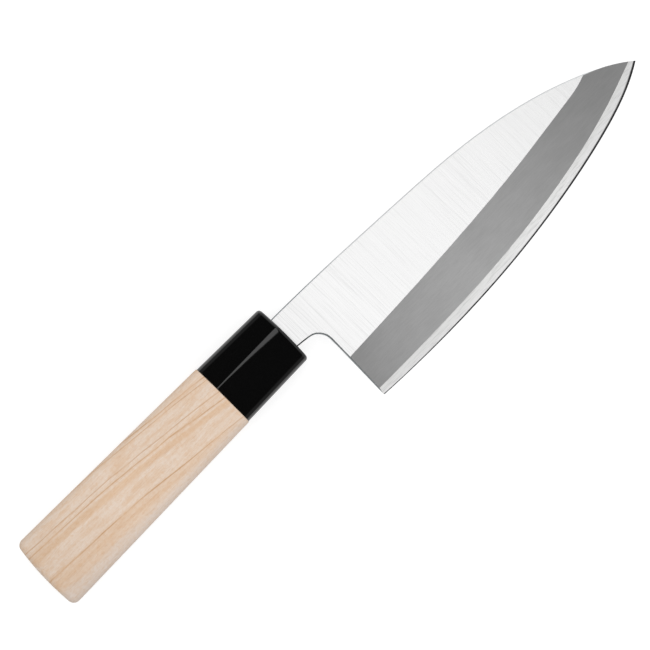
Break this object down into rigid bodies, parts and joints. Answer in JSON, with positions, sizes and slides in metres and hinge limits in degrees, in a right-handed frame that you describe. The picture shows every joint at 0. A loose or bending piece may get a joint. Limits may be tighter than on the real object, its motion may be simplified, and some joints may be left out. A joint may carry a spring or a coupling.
{
  "type": "deba knife",
  "caption": "Heavy single-bevel fish knife: broad pointed blade with a wide ground bevel and a hollow back, a D-section wooden handle and a black ferrule.",
  "frame": {"origin": "bottom centre of the bounding box, with the knife lying on its side", "axes": "+X along the handle towards the tip, +Y towards the spine, +Z out of the ground side of the blade"},
  "size_m": [0.2826, 0.057, 0.0226],
  "materials": {
    "blade_steel": "stainless steel, ground flat side, fine matt bevel and a brighter edge bevel",
    "bare_wood": "bare pale magnolia, sanded smooth",
    "black_plastic": "glossy moulded black plastic",
    "resin": "hardened resin, hidden in the handle"
  },
  "bodies": {
    "root": {"blade": "blade_steel", "handle": "bare_wood", "ferrule": "black_plastic", "tang_bond": "resin"}
  },
  "joints": []
}
